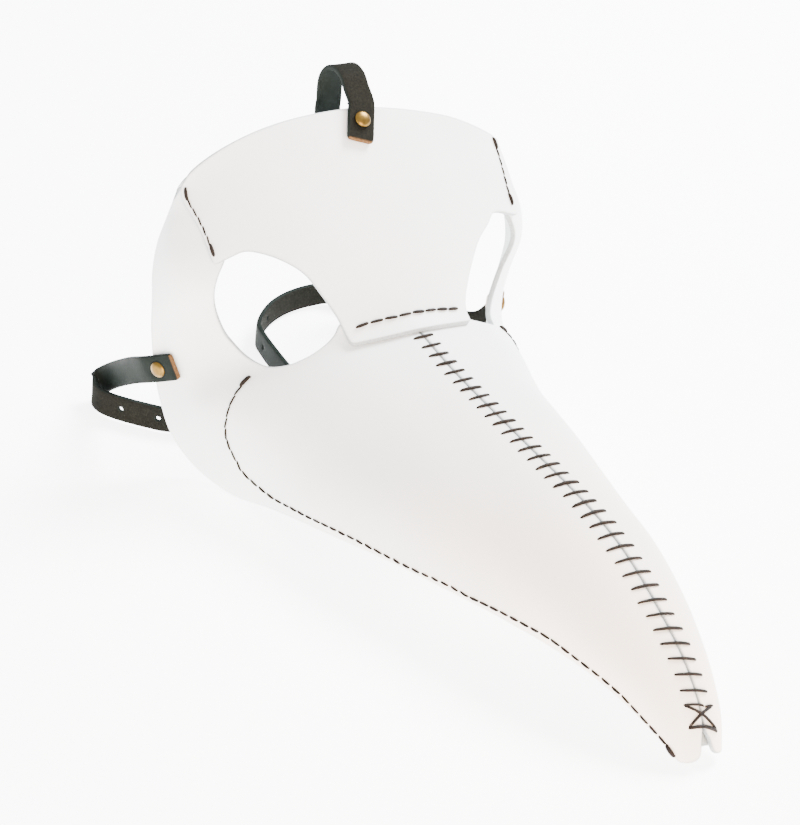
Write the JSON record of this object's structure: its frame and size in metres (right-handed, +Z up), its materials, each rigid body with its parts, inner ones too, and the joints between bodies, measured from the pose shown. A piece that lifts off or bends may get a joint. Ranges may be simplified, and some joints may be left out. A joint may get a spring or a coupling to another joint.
{
  "type": "plague doctor mask",
  "caption": "Hollow bird-beak face mask of stiff white leather with a laced ridge, a stitched brow with a nose tab, two eye holes and black leather straps.",
  "frame": {"origin": "middle of the bounding box on the plane that the mask lies on", "axes": "+X to the wearer's left, -Y along the beak to its tip, +Z up from the surface as it lies on jaw rims and beak tip"},
  "size_m": [0.1892, 0.3778, 0.1687],
  "materials": {
    "white_leather": "smooth, satin",
    "black_leather": "smooth, slight sheen",
    "brass": "polished, aged",
    "waxed_thread": "waxed, matt"
  },
  "bodies": {
    "root": {"side_panel_left": "white_leather", "side_panel_right": "white_leather", "brow_panel": "white_leather", "under_beak_panel": "white_leather", "beak_stitching_left": "waxed_thread", "beak_stitching_right": "waxed_thread", "temple_stitching_left": "waxed_thread", "temple_stitching_right": "waxed_thread", "tab_stitching": "waxed_thread", "ridge_lacing": "waxed_thread", "side_strap_left": "black_leather", "side_strap_right": "black_leather", "top_strap": "black_leather", "side_rivet_left": "brass", "side_rivet_right": "brass", "forehead_rivet": "brass", "loop_rivet": "brass", "strap_stud": "brass"}
  },
  "joints": []
}
